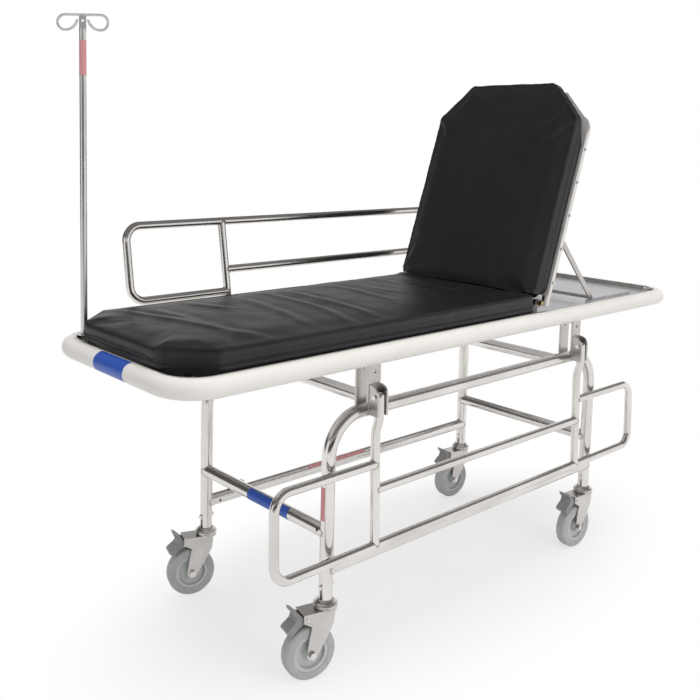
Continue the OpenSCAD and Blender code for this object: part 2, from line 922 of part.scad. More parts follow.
// Side rail, raised and upright: pivot line on the x axis, posts drawn a little thinner
// where they step out along +Y
module rail() {
  color(steel)
    difference() {
      union() {
        for (s = [-1, 1]) {
          translate([s * post_x, 0, 0]) {
            ball_end(rail_tube);
            bar_z(0, step_start + step_lap, rail_tube);
            translate([0, step_r, step_start])
              bend_yz(step_r, 180 - step_angle, step_angle, step_tube);
            translate([0, rail_step - step_r, step_start + step_length])
              bend_yz(step_r, -step_angle - step_over, step_angle + step_over, step_tube - 0.2);
            translate([0, rail_step, 0])
              bar_z(step_start + step_length - step_lap, rail_height, rail_tube);
          }
          translate([0, rail_step, 0])
            mirror([s < 0 ? 1 : 0, 0, 0]) {
              translate([0, 0, rail_return])
                bar_x(post_x, end_x - rail_corner, rail_tube);
              translate([end_x - rail_corner, 0, rail_return + rail_corner])
                bend_xz(rail_corner, -90, 90, rail_tube);
              translate([end_x, 0, 0])
                bar_z(rail_return + rail_corner, rail_height - rail_corner, rail_tube);
              translate([end_x - rail_corner, 0, rail_height - rail_corner])
                bend_xz(rail_corner, 0, 90, rail_tube);
            }
        }
        translate([0, rail_step, rail_height])
          bar_x(rail_corner - end_x, end_x - rail_corner, rail_tube);
        translate([0, rail_step, rail_mid])
          bar_x(-post_x, post_x, rail_tube);
      }
      for (s = [-1, 1])
        translate([s * post_x, 0, 0])
          bar_x(-rail_tube, rail_tube, rail_pin + 2 * run_gap);
    }
}

module rail_near() {
  mirror([0, 1, 0])
    translate([0, pivot_y, pivot_z])
      rotate([lean_down - 180, 0, 0])
        rail();
}

module rail_far() {
  translate([0, pivot_y, pivot_z])
    rotate([-lean_up, 0, 0])
      rail();
}

// Infusion pole in the far foot socket, with a flattened eye under the hook
module iv_pole() {
  tab_t = 5;
  tab_h = 34;
  tab_top = pole_top - hook_wire / 2 - seat_gap;
  color(steel)
    translate([-socket_x, socket_y, 0])
      difference() {
        union() {
          bar_z(socket_low + socket_floor + soft_gap, tab_top - tab_h + 6, pole_d);
          rotate([0, 0, hook_turn])
            translate([-pole_d / 2, -tab_t / 2, tab_top - tab_h])
              cube([pole_d, tab_t, tab_h]);
        }
        rotate([0, 0, hook_turn])
          translate([0, 0, tab_top - 10])
            bar_y(-pole_d, pole_d, 6);
      }
}

module iv_hook() {
  tip_r = hook_r * 1.65;
  color(steel)
    translate([-socket_x, socket_y, pole_top])
      rotate([0, 0, hook_turn]) {
        bar_x(-hook_bar / 2, hook_bar / 2, hook_wire);
        for (s = [0, 1])
          mirror([s, 0, 0]) {
            translate([hook_bar / 2, 0, -hook_r])
              bend_xz(hook_r, -90, 180, hook_wire);
            translate([hook_bar / 2, 0, tip_r - 2 * hook_r])
              mirror([1, 0, 0])
                bend_xz(tip_r, -90, 80, hook_wire);
          }
      }
}

// Spring clip on the far lower side tube
module pole_clip() {
  clip_x = 437;
  clip_w = 46;
  clip_d = 14;
  clip_t = 3;
  clip_h = 14;
  low = lower_side_z + frame_tube / 2 + seat_gap;
  color(steel)
    translate([-clip_x, leg_y - clip_d / 2, low]) {
      translate([-clip_w / 2, 0, 0])
        cube([clip_w, clip_d, clip_t]);
      for (x = [-clip_w / 2, clip_w / 2 - clip_t])
        translate([x, 0, 0])
          cube([clip_t, clip_d, clip_h]);
    }
}

// Caster stems: stem in the leg, swivel head under it and the king pin
module caster_stems() {
  color(steel)
    for (i = [0:3])
      at_leg(i)
        difference() {
          union() {
            bar_z(caster_h, caster_h + stem_l, stem_d);
            bar_z(head_low, caster_h, head_d);
            bar_z(crown_low - king_nut_h - 1, head_low, king_d);
          }
          translate([0, 0, stem_bolt_z])
            bar_x(-stem_d, stem_d, stem_bolt + 2 * seat_gap);
        }
}

module stem_bolts() {
  half = frame_tube / 2 + seat_gap;
  head_l = 5;
  color(steel)
    for (i = [0:3])
      at_leg(i)
        translate([0, 0, stem_bolt_z]) {
          bar_x(-half - head_l, half + head_l, stem_bolt);
          for (x = [-half - head_l, half])
            translate([x, 0, 0])
              rotate([0, 90, 0])
                cylinder(h = head_l, d = stem_bolt * 1.9, $fn = 6);
        }
}

module king_nuts() {
  color(steel)
    for (i = [0:3])
      at_leg(i)
        difference() {
          translate([0, 0, crown_low - king_nut_h - 0.4])
            cylinder(h = king_nut_h, d = king_nut_w, $fn = 6);
          bar_z(crown_low - 2 * king_nut_h, crown_low, king_d + 2 * run_gap);
        }
}

// Fork: crown plate, swivel dish and two cheeks down to the axle
module cheek() {
  difference() {
    union() {
      polygon([
        [-fork_back, crown_top], [-fork_back, crown_low - 15], [-trail - 2, crown_low - 27],
        [-trail - axle_eye * 0.7, axle_z + cheek_rise], [-trail - axle_eye, axle_z],
        [axle_eye * 0.75 - trail, axle_z - axle_eye * 0.66], [-6, axle_z + cheek_rise],
        [fork_front - 3, crown_low - 30], [fork_front, crown_low - 8], [fork_front, crown_top]
      ]);
      translate([-trail, axle_z])
        circle(r = axle_eye);
    }
    translate([-trail, axle_z])
      circle(d = axle_d + 2 * run_gap);
    translate([pedal_x, pedal_z])
      circle(d = pedal_pin + 2 * run_gap);
  }
}

module fork(i) {
  color(steel)
    at_caster(i)
      difference() {
        union() {
          for (y = [-fork_in, fork_out])
            translate([0, y, 0])
              rotate([90, 0, 0])
                linear_extrude(height = fork_t)
                  cheek();
          translate([-fork_back, -fork_in, crown_low])
            cube([fork_back + fork_front, 2 * fork_in, crown_top - crown_low]);
          bar_z(crown_low, crown_top, head_d);
        }
        bar_z(crown_low - eps, crown_top + eps, king_d + 2 * run_gap);
      }
}

module axle(i) {
  end = fork_out + seat_gap;
  color(steel)
    at_caster(i) {
      translate([-trail, 0, axle_z]) {
        bar_y(-end - axle_head, end + axle_head, axle_d);
        for (y = [-end - axle_head, end])
          translate([0, y, 0])
            rotate([-90, 0, 0])
              cylinder(h = axle_head, d = axle_d * 1.7, $fn = 6);
      }
      translate([pedal_x, 0, pedal_z])
        bar_y(-fork_out - 1, fork_out + 1, pedal_pin);
    }
}

module tyre(i) {
  inner = core_d / 2 + seat_gap;
  outer = wheel_d / 2;
  edge = 8;
  color(grey_rubber)
    at_caster(i)
      translate([-trail, 0, axle_z])
        rotate([90, 0, 0])
          rotate_extrude() {
            translate([inner, -wheel_w / 2])
              square([outer - edge - inner, wheel_w]);
            translate([outer - edge - eps, edge - wheel_w / 2])
              square([edge + eps, wheel_w - 2 * edge]);
            for (s = [-1, 1])
              translate([outer - edge, s * (wheel_w / 2 - edge)])
                circle(r = edge);
          }
}

module core(i) {
  boss = 15;
  rim = 8;
  web = 12;
  rim_w = wheel_w - 3;
  color(grey_plastic)
    at_caster(i)
      translate([-trail, 0, axle_z])
        rotate([90, 0, 0])
          rotate_extrude() {
            translate([axle_d / 2 + run_gap, -hub_w / 2])
              square([boss - axle_d / 2 - run_gap, hub_w]);
            translate([boss - eps, -web / 2])
              square([core_d / 2 - rim - boss + 2 * eps, web]);
            translate([core_d / 2 - rim, -rim_w / 2])
              square([rim, rim_w]);
          }
}

// Brake pedal: round eye on its pin, upper toe plate and lower release lip
module pedal(i) {
  toe = [
    [-11.5, 7.5], [-29, 23], [-37, 27], [-35, 19], [-25, 9], [-29, -3], [-48, -18],
    [-50, -23], [-41, -32], [-35, -31], [-21, -17], [-7, -8], [0, -8]
  ];
  color(dark_plastic)
    at_caster(i)
      translate([pedal_x, pedal_w / 2, pedal_z])
        rotate([90, 0, 0])
          linear_extrude(height = pedal_w)
            difference() {
              union() {
                polygon(toe);
                circle(r = pedal_eye);
              }
              circle(d = pedal_pin + 2 * run_gap);
            }
}

module fork_foot_far() { fork(0); }
module axle_foot_far() { axle(0); }
module tyre_foot_far() { tyre(0); }
module core_foot_far() { core(0); }
module pedal_foot_far() { pedal(0); }
module fork_foot_near() { fork(1); }
module axle_foot_near() { axle(1); }
module tyre_foot_near() { tyre(1); }
module core_foot_near() { core(1); }
module pedal_foot_near() { pedal(1); }
module fork_head_far() { fork(2); }
module axle_head_far() { axle(2); }
module tyre_head_far() { tyre(2); }
module core_head_far() { core(2); }
module pedal_head_far() { pedal(2); }
module fork_head_near() { fork(3); }
module axle_head_near() { axle(3); }
module tyre_head_near() { tyre(3); }
module core_head_near() { core(3); }
module pedal_head_near() { pedal(3); }

side_frame_near();
side_frame_far();
lower_side_tubes();
lower_cross_tubes();
upper_cross_tubes();
hangers();
hanger_bolts();
deck_frame();
deck_panel();
bumper();
pole_sockets();
seat_pad();
racks();
rail_brackets();
rail_pins();
hinge_brackets();
hinge_pins();
caster_stems();
stem_bolts();
king_nuts();
pole_clip();
back_frame();
back_panel();
back_pad();
back_screws();
prop_pins();
prop_bail();
rail_near();
rail_far();
iv_pole();
iv_hook();
fork_foot_far();
axle_foot_far();
tyre_foot_far();
core_foot_far();
pedal_foot_far();
fork_foot_near();
axle_foot_near();
tyre_foot_near();
core_foot_near();
pedal_foot_near();
fork_head_far();
axle_head_far();
tyre_head_far();
core_head_far();
pedal_head_far();
fork_head_near();
axle_head_near();
tyre_head_near();
core_head_near();
pedal_head_near();
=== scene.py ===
import math

import bpy
import numpy as np
from mathutils import Matrix, Vector, noise


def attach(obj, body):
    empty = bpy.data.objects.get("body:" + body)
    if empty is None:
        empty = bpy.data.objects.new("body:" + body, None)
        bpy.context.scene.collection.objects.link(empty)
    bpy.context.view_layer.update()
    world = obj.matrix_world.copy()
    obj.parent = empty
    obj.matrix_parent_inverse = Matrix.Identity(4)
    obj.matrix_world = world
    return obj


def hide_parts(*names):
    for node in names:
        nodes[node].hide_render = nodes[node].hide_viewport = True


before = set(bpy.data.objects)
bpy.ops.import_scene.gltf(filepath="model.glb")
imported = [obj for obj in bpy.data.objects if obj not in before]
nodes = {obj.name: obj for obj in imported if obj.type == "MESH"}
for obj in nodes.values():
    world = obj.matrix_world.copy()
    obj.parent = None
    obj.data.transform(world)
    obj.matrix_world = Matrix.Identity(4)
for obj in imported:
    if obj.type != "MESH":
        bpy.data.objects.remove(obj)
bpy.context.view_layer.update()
scene = bpy.context.scene
print("stretcher frame loaded,", len(nodes), "nodes")

# centre lines of the frame's tubes, and the foot of the infusion pole, in metres
legX = 0.5355
legY = 0.2388
lowTube = 0.249
crossTube = 0.336
upperX = 0.354
upperTube = 0.601
tubeRadius = 0.016
polePlace = (-0.90048, 0.21848)

# camera at the photographed corner, in pixels of a 700 square frame
cameraSetup = {
    "place": (-1.84748, -1.64326, 1.22519),
    "yaw": 49.06, "pitch": 5.9, "roll": 1.2,  # degrees
    "focal": 882.66, "centre": (302.19, 228.67), "frame": 700,
    "sensor": 36, "farthest": 100,
}


def makeCamera(c):
    yaw, pitch, roll = [math.radians(c[k]) for k in ("yaw", "pitch", "roll")]
    ahead = Vector((math.cos(pitch) * math.cos(yaw), math.cos(pitch) * math.sin(yaw), -math.sin(pitch)))
    side = Vector((math.sin(yaw), -math.cos(yaw), 0))
    up = side.cross(ahead)
    right = side * math.cos(roll) + up * math.sin(roll)
    above = up * math.cos(roll) - side * math.sin(roll)
    bpy.ops.object.camera_add()
    cam = bpy.context.object
    cam.name = "photoCamera"
    turn = Matrix((right, above, -ahead)).transposed().to_4x4()
    cam.matrix_world = Matrix.Translation(c["place"]) @ turn
    cam.data.sensor_width = c["sensor"]
    cam.data.lens = c["sensor"] * c["focal"] / c["frame"]
    cam.data.shift_x = 0.5 - c["centre"][0] / c["frame"]
    cam.data.shift_y = c["centre"][1] / c["frame"] - 0.5
    cam.data.clip_end = c["farthest"]
    scene.camera = cam


bpy.ops.object.select_all(action="DESELECT")
makeCamera(cameraSetup)
print("camera placed")


# a shader socket that can be added and multiplied
class Sock:
    def __init__(self, tree, out=None):
        self.tree = tree
        self.out = out

    def node(self, kind, settings=None, values=None, out=0):
        made = self.tree.nodes.new("ShaderNode" + kind)
        for key, value in (settings or {}).items():
            setattr(made, key, value)
        for key, value in (values or {}).items():
            if isinstance(value, Sock):
                self.tree.links.new(value.out, made.inputs[key])
            else:
                made.inputs[key].default_value = value
        return Sock(self.tree, made.outputs[out] if len(made.outputs) else None)

    def sum(self, kind, a, b):
        return self.node("Math", {"operation": kind}, {0: a, 1: b})

    def __add__(self, b):
        return self.sum("ADD", self, b)

    def __radd__(self, b):
        return self.sum("ADD", b, self)

    def __mul__(self, b):
        return self.sum("MULTIPLY", self, b)

    def __rmul__(self, b):
        return self.sum("MULTIPLY", b, self)


def newFinish(name):
    finish = bpy.data.materials.new(name)
    finish.use_nodes = True
    finish.node_tree.nodes.clear()
    s = Sock(finish.node_tree)
    return finish, s, s.node("TexCoord", out="Object")


def grain(s, where, scale, detail=4.0, rough=0.6, stretch=None):
    if stretch:
        where = s.node("Mapping", {}, {"Vector": where, "Scale": stretch})
    return s.node("TexNoise", {}, {"Vector": where, "Scale": scale, "Detail": detail, "Roughness": rough})


def spread(s, value, low, high, a=0.0, b=1.0):
    ends = {"From Min": low, "From Max": high, "To Min": a, "To Max": b}
    return s.node("MapRange", {}, {"Value": value, **ends})


def blendColour(s, amount, a, b):
    return s.node("Mix", {"data_type": "RGBA"}, {0: amount, 6: a, 7: b}, out=2)


def bumped(s, height, strength, distance):
    return s.node("Bump", {}, {"Height": height, "Strength": strength, "Distance": distance})


def closeFinish(s, values):
    s.node("OutputMaterial", {}, {"Surface": s.node("BsdfPrincipled", {}, values)})


def rgb(r, g, b):
    return (r, g, b, 1.0)


def toned(colour, by, lift=0.0):
    return rgb(*[c * by + lift for c in colour])


# bent and drawn stainless tube, mirror polished with hand smudges
def polishedTube(name, stretch, light=(0.78, 0.755, 0.73), dark=(0.65, 0.62, 0.595), rough=0.11):
    finish, s, where = newFinish(name)
    smudge = grain(s, where, scale=6.0, detail=5.0)
    polish = grain(s, where, scale=1.0, detail=3.0, rough=0.5, stretch=stretch)
    fine = grain(s, where, scale=700.0, detail=2.0)
    worn = spread(s, grain(s, where, scale=45.0, detail=6.0, rough=0.7), low=0.62, high=0.80)
    tint = blendColour(s, spread(s, smudge, low=0.35, high=0.7), rgb(*light), rgb(*dark))
    tint = blendColour(s, worn * 0.35, tint, toned(dark, 0.72))
    closeFinish(s, {
        "Base Color": tint,
        "Metallic": 1.0,
        "Roughness": rough + smudge * 0.10 + polish * 0.07 + worn * 0.10,
        "Normal": bumped(s, polish * 0.7 + fine * 0.3, strength=0.05, distance=0.0004),
    })
    return finish


def satinSteel(name, colour, rough, metal=1.0):
    finish, s, where = newFinish(name)
    cloud = grain(s, where, scale=18.0, detail=5.0)
    pits = grain(s, where, scale=420.0, detail=3.0)
    stain = spread(s, grain(s, where, scale=70.0, detail=6.0, rough=0.7), low=0.58, high=0.82)
    tint = blendColour(s, spread(s, cloud, low=0.3, high=0.75), rgb(*colour), toned(colour, 0.82))
    tint = blendColour(s, stain * 0.4, tint, toned(colour, 0.6))
    closeFinish(s, {
        "Base Color": tint,
        "Metallic": metal,
        "Roughness": rough + cloud * 0.12 + pits * 0.05 + stain * 0.08,
        "Normal": bumped(s, pits, strength=0.08, distance=0.0003),
    })
    return finish


def brushedSheet(name, light, dark):
    finish, s, where = newFinish(name)
    brush = grain(s, where, scale=1.0, detail=4.0, rough=0.55, stretch=(3.0, 420.0, 420.0))
    cloud = grain(s, where, scale=4.0, detail=4.0)
    tint = blendColour(s, brush * 0.6 + cloud * 0.4, rgb(*light), rgb(*dark))
    closeFinish(s, {
        "Base Color": tint,
        "Metallic": 0.75,
        "Roughness": 0.30 + brush * 0.14 + cloud * 0.06,
        "Normal": bumped(s, brush, strength=0.10, distance=0.0003),
    })
    return finish


def creamBumper(name, light, dark, worn):
    finish, s, where = newFinish(name)
    cloud = grain(s, where, scale=5.0, detail=4.0)
    peel = grain(s, where, scale=260.0, detail=2.0)
    scuff = grain(s, where, scale=1.0, detail=5.0, rough=0.65, stretch=(30.0, 30.0, 240.0))
    rubbed = spread(s, scuff, low=0.66, high=0.78)
    tint = blendColour(s, spread(s, cloud, low=0.3, high=0.7), rgb(*light), rgb(*dark))
    tint = blendColour(s, rubbed * 0.25, tint, rgb(*worn))
    closeFinish(s, {
        "Base Color": tint,
        "Roughness": 0.38 + cloud * 0.10 + rubbed * 0.14,
        "Normal": bumped(s, peel, strength=0.10, distance=0.0004),
        "Specular IOR Level": 0.40,
    })
    return finish


# leather-grained vinyl: fine pebble, soft creases, a little dust
def blackVinyl(name, dark, light, dusty):
    finish, s, where = newFinish(name)
    pebble = s.node("TexVoronoi", {"feature": "DISTANCE_TO_EDGE"}, {"Vector": where, "Scale": 620.0})
    crease = grain(s, where, scale=55.0, detail=4.0)
    cloud = grain(s, where, scale=3.5, detail=5.0)
    dust = spread(s, grain(s, where, scale=24.0, detail=6.0, rough=0.7), low=0.55, high=0.8)
    leather = spread(s, pebble, low=0.0, high=0.22)
    tint = blendColour(s, spread(s, cloud, low=0.3, high=0.7), rgb(*dark), rgb(*light))
    tint = blendColour(s, dust * 0.12, tint, rgb(*dusty))
    closeFinish(s, {
        "Base Color": tint,
        "Roughness": 0.36 + cloud * 0.10 + dust * 0.08,
        "Normal": bumped(s, leather * 0.45 + crease * 0.55, strength=0.20, distance=0.0009),
        "Specular IOR Level": 0.40,
    })
    return finish


def mouldedPlastic(name, light, dark, rough, scale=90.0):
    finish, s, where = newFinish(name)
    cloud = grain(s, where, scale=scale * 0.2, detail=4.0)
    skin = grain(s, where, scale=scale * 10.0, detail=2.0)
    grime = spread(s, grain(s, where, scale=scale * 0.6, detail=6.0, rough=0.7), low=0.55, high=0.8)
    tint = blendColour(s, spread(s, cloud, low=0.3, high=0.7), rgb(*light), rgb(*dark))
    tint = blendColour(s, grime * 0.35, tint, toned(dark, 0.6))
    closeFinish(s, {
        "Base Color": tint,
        "Roughness": rough + cloud * 0.14 + grime * 0.08,
        "Normal": bumped(s, skin, strength=0.15, distance=0.0003),
    })
    return finish


def tapeFinish(name, colour):
    finish, s, where = newFinish(name)
    cloud = grain(s, where, scale=40.0, detail=4.0)
    ripple = grain(s, where, scale=160.0, detail=2.0)
    tint = blendColour(s, spread(s, cloud, low=0.3, high=0.75), rgb(*colour), toned(colour, 0.85, 0.02))
    closeFinish(s, {
        "Base Color": tint,
        "Roughness": 0.30 + cloud * 0.15,
        "Normal": bumped(s, ripple, strength=0.08, distance=0.0003),
    })
    return finish


# heat-tinted bead with its ripples
def weldSteel(name, light, dark):
    finish, s, where = newFinish(name)
    ripple = grain(s, where, scale=520.0, detail=2.0)
    heat = spread(s, grain(s, where, scale=60.0, detail=3.0), low=0.4, high=0.7)
    tint = blendColour(s, heat, rgb(*light), rgb(*dark))
    closeFinish(s, {
        "Base Color": tint,
        "Metallic": 1.0,
        "Roughness": 0.24 + ripple * 0.16,
        "Normal": bumped(s, ripple, strength=0.35, distance=0.0006),
    })
    return finish


steelX = polishedTube("steelAlong", stretch=(5.0, 380.0, 380.0))
steelY = polishedTube("steelAcross", stretch=(380.0, 5.0, 380.0))
steelFrame = polishedTube("steelBent", stretch=(120.0, 120.0, 120.0))
steelPole = polishedTube("steelUpright", stretch=(90.0, 90.0, 2.0),
                         light=(0.70, 0.685, 0.67), dark=(0.60, 0.585, 0.57), rough=0.20)
steelPlate = satinSteel("steelPlate", colour=(0.60, 0.575, 0.55), rough=0.20)
steelPressed = satinSteel("steelPressed", colour=(0.66, 0.635, 0.615), rough=0.18)
steelHook = satinSteel("steelHook", colour=(0.72, 0.70, 0.69), rough=0.24, metal=0.5)
steelBacking = satinSteel("steelBacking", colour=(0.66, 0.64, 0.62), rough=0.32, metal=0.35)
sheetSteel = brushedSheet("deckSheetSteel", light=(0.82, 0.82, 0.84), dark=(0.70, 0.70, 0.72))
cream = creamBumper("creamBumper", light=(0.80, 0.775, 0.74), dark=(0.765, 0.74, 0.70),
                    worn=(0.56, 0.54, 0.51))
vinyl = blackVinyl("blackVinyl", dark=(0.0105, 0.0108, 0.012), light=(0.0150, 0.0154, 0.0168),
                   dusty=(0.050, 0.049, 0.048))
brass = satinSteel("brassBolt", colour=(0.62, 0.46, 0.20), rough=0.24)
bead = weldSteel("weldBead", light=(0.60, 0.57, 0.54), dark=(0.46, 0.42, 0.37))
treadRubber = mouldedPlastic("greyTread", light=(0.46, 0.465, 0.455), dark=(0.39, 0.395, 0.385), rough=0.50)
corePlastic = mouldedPlastic("greyCore", light=(0.56, 0.575, 0.57), dark=(0.48, 0.495, 0.49), rough=0.36)
pedalPlastic = mouldedPlastic("darkPedal", light=(0.30, 0.295, 0.29), dark=(0.23, 0.225, 0.22), rough=0.42)
# near black, for the vent discs: painted shade standing in for the inside of the holes
holeShadePaint = mouldedPlastic("holeShadePaint", light=(0.02, 0.02, 0.02), dark=(0.012, 0.012, 0.012), rough=0.6)
blueTape = tapeFinish("blueTape", colour=(0.012, 0.085, 0.46))
redTape = tapeFinish("redTape", colour=(0.64, 0.27, 0.28))

nodeFinish = {
    "bumper": cream, "deck_panel": sheetSteel, "hinge_pins": brass,
    "side_frame_near": steelFrame, "side_frame_far": steelFrame,
    "lower_cross_tubes": steelY, "upper_cross_tubes": steelY,
    "iv_pole": steelPole, "iv_hook": steelHook,
    "hangers": steelPlate, "rail_brackets": steelPlate, "racks": sheetSteel,
    "hinge_brackets": steelPlate, "pole_clip": steelPlate, "prop_bail": steelPlate,
    "deck_frame": steelPlate, "back_panel": steelBacking, "caster_stems": steelPressed,
}
groupFinish = {"tyre_": treadRubber, "core_": corePlastic, "pedal_": pedalPlastic, "fork_": steelPressed}
for name, obj in nodes.items():
    finish = nodeFinish.get(name, steelX)
    for start, look in groupFinish.items():
        if name.startswith(start):
            finish = look
    obj.data.materials.clear()
    obj.data.materials.append(finish)
print("finishes on", len(nodes), "nodes")

# studio: pale floor, a big light overhead and one in front, white surround
studio = {
    "ambient": 0.68, "aim": (0, 0, 0.6),
    "lights": [
        {"name": "keyBox", "power": 68.0, "size": 4.0, "place": (-0.3, -0.4, 4.0)},
        {"name": "fillBox", "power": 32.0, "size": 2.4, "place": (0.2, -4.0, 1.9)},
    ],
    "floorSize": 60, "floorDrop": 0.0005, "floorTone": 0.86, "floorCloud": 0.985,
    "floorWhite": 0.63, "fadeFrom": 0.62, "fadeTo": 1.15, "fadeShape": (1.0, 2.0, 0.0),
    "domeTone": 0.20, "domeRadius": 12.0, "domeLow": 0.40,  # sine of its lower edge
    "panels": [  # like the dome, seen only in gloss: the far wall, and the dark behind the camera
        {"place": (-3.7, 4.8), "width": 7.0, "low": 0.3, "high": 5.6, "tone": 0.10},
        {"place": (-3.3, -3.5), "width": 6.5, "low": 0.30, "high": 2.0, "tone": 0.04},
    ],
}


def aimLight(look, aim):
    bpy.ops.object.light_add(type="AREA", location=look["place"])
    lamp = bpy.context.object
    lamp.name = look["name"]
    lamp.data.shape = "DISK"
    lamp.data.size = look["size"]
    lamp.data.energy = look["power"]
    lamp.rotation_mode = "QUATERNION"
    lamp.rotation_quaternion = (Vector(aim) - Vector(look["place"])).to_track_quat("-Z", "Y")
    lamp.visible_glossy = False


def shownRays(s):
    seen = s.node("LightPath", out="Is Camera Ray")
    glossy = s.node("LightPath", out="Is Glossy Ray")
    through = s.node("LightPath", out="Is Transmission Ray")
    return s.sum("MAXIMUM", s.sum("MAXIMUM", seen, glossy), through)


def glossOnly(obj, name, tone):
    dim, s, where = newFinish(name)
    shade = spread(s, grain(s, where, scale=0.2), low=0.2, high=0.8, a=tone * 0.9, b=tone * 1.1)
    glow = s.node("Emission", {}, {"Color": rgb(1, 1, 1), "Strength": shade})
    s.node("OutputMaterial", {}, {"Surface": glow})
    obj.data.materials.append(dim)
    obj.visible_camera = False
    obj.visible_diffuse = False
    obj.visible_shadow = False
    obj.visible_transmission = False


def makeSky(c):
    world = bpy.data.worlds.new("studioWorld")
    scene.world = world
    world.use_nodes = True
    world.node_tree.nodes.clear()
    s = Sock(world.node_tree)
    strength = c["ambient"] + shownRays(s) * (1 - c["ambient"])
    sky = s.node("Background", {}, {"Color": rgb(1, 1, 1), "Strength": strength})
    s.node("OutputWorld", {}, {"Surface": sky})


# the floor fades to white away from the part
def makeFloor(c):
    bpy.ops.mesh.primitive_plane_add(size=c["floorSize"], location=(0, 0, -c["floorDrop"]))
    floor = bpy.context.object
    floor.name = "studioFloor"
    pale, s, where = newFinish("paleFloor")
    light = c["floorTone"]
    tone = blendColour(s, grain(s, where, scale=1.5), rgb(*[light] * 3), rgb(*[light * c["floorCloud"]] * 3))
    oval = s.node("VectorMath", {"operation": "MULTIPLY"}, {0: where, 1: c["fadeShape"]})
    away = s.node("VectorMath", {"operation": "LENGTH"}, {0: oval}, out="Value")
    far = s.node("MapRange", {"interpolation_type": "SMOOTHSTEP"},
                 {"Value": away, "From Min": c["fadeFrom"], "From Max": c["fadeTo"],
                  "To Min": c["floorWhite"], "To Max": 1.0})
    body = s.node("BsdfDiffuse", {}, {"Color": tone})
    white = s.node("Emission", {}, {"Color": rgb(1, 1, 1), "Strength": 1.0})
    mixed = s.node("MixShader", {}, {0: far * shownRays(s), 1: body, 2: white})
    s.node("OutputMaterial", {}, {"Surface": mixed})
    floor.data.materials.append(pale)


def makeCeiling(c):
    bpy.ops.mesh.primitive_uv_sphere_add(segments=64, ring_count=48, radius=c["domeRadius"])
    dome = bpy.context.object
    dome.name = "studioCeiling"
    bpy.ops.object.mode_set(mode="EDIT")
    bpy.ops.mesh.bisect(plane_co=(0, 0, c["domeRadius"] * c["domeLow"]), plane_no=(0, 0, 1), clear_inner=True)
    bpy.ops.object.mode_set(mode="OBJECT")
    glossOnly(dome, "dimCeiling", c["domeTone"])


def makePanel(p):
    bpy.ops.mesh.primitive_plane_add(size=1)
    panel = bpy.context.object
    panel.name = "studioPanel"
    out = Vector((*p["place"], 0)).normalized()
    along = Vector((-out.y, out.x, 0)) * p["width"] / 2
    corners = [(-1, "low"), (1, "low"), (-1, "high"), (1, "high")]
    for v, (side, level) in zip(panel.data.vertices, corners):
        v.co = Vector((*p["place"], p[level])) + along * side
    glossOnly(panel, "dimPanel", p["tone"])


makeSky(studio)
for look in studio["lights"]:
    aimLight(look, studio["aim"])
makeFloor(studio)
makeCeiling(studio)
for look in studio["panels"]:
    makePanel(look)
scene.view_settings.view_transform = "Standard"
print("studio lit")


def pick(obj):
    if bpy.context.object and bpy.context.object.mode != "OBJECT":
        bpy.ops.object.mode_set(mode="OBJECT")
    bpy.ops.object.select_all(action="DESELECT")
    obj.select_set(True)
    bpy.context.view_layer.objects.active = obj


def readMesh(mesh, what):
    flat = np.empty(len(mesh.vertices) * 3)
    mesh.vertices.foreach_get(what, flat)
    return flat.reshape(-1, 3)


def setPoints(mesh, points):
    mesh.vertices.foreach_set("co", points.ravel())
    mesh.update()


def intoPlace(points, place):
    m = np.array(place)
    return points @ m[:3, :3].T + m[:3, 3]


def useModifier(obj, kind, settings):
    made = obj.modifiers.new(kind.lower(), kind)
    for key, value in settings.items():
        setattr(made, key, value)
    bpy.ops.object.modifier_apply(modifier=made.name)


# faces turned outwards, after points nearer than the weld are made one
def faceOut(weld=0.0):
    bpy.ops.object.mode_set(mode="EDIT")
    bpy.ops.mesh.select_all(action="SELECT")
    if weld:
        bpy.ops.mesh.remove_doubles(threshold=weld)
    bpy.ops.mesh.normals_make_consistent(inside=False)
    bpy.ops.object.mode_set(mode="OBJECT")


# padded vinyl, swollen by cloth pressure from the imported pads; lengths run in each pad's own frame
seatLook = {
    "node": "seat_pad", "body": "base", "place": Matrix.Translation((0, 0, 0.7423)),
    "voxel": 0.0075, "shrink": 0.002, "pressure": 4.0, "cap": 0.0055, "fill": 0.7,
    "sideSeam": 0.0265, "topSeam": 0.0575, "topSeamFrom": 0.162, "seamWidth": 0.0045, "seamDepth": 0.0026,
    "topGroove": 0.0016, "grooveWidth": 0.004,
    "rollEnd": -0.943, "rollTop": 0.0645, "rollRadius": 0.038, "rollHalf": 0.185, "rollEase": 0.075,
    "lowBand": 0.0022, "lowBandAt": 0.019, "lowBandWidth": 0.006,
    "lean": 0.006, "leanFrom": 0.012, "leanOver": 0.02,
    "headStretch": {"by": 0.005, "start": 0.20, "over": 0.04},
    "headRaise": {"by": 0.004, "start": 0.15, "over": 0.05, "above": 0.05},
    "lowest": 0.0, "ends": (-0.9445, 0.2436),
    "headFrom": 0.185, "headOver": 0.02, "headTop": 0.0642, "topLimit": 0.09,
    "pole": polePlace, "poleRoom": 0.0105,
    "sideCord": 0.0016, "topCord": 0.0018, "uprightCord": 0.0014, "uprightSpan": (0.004, 0.060),
    "cornerX": -0.839, "cornerY": 0.2, "toeX": -0.86, "toeY": 0.158,
}
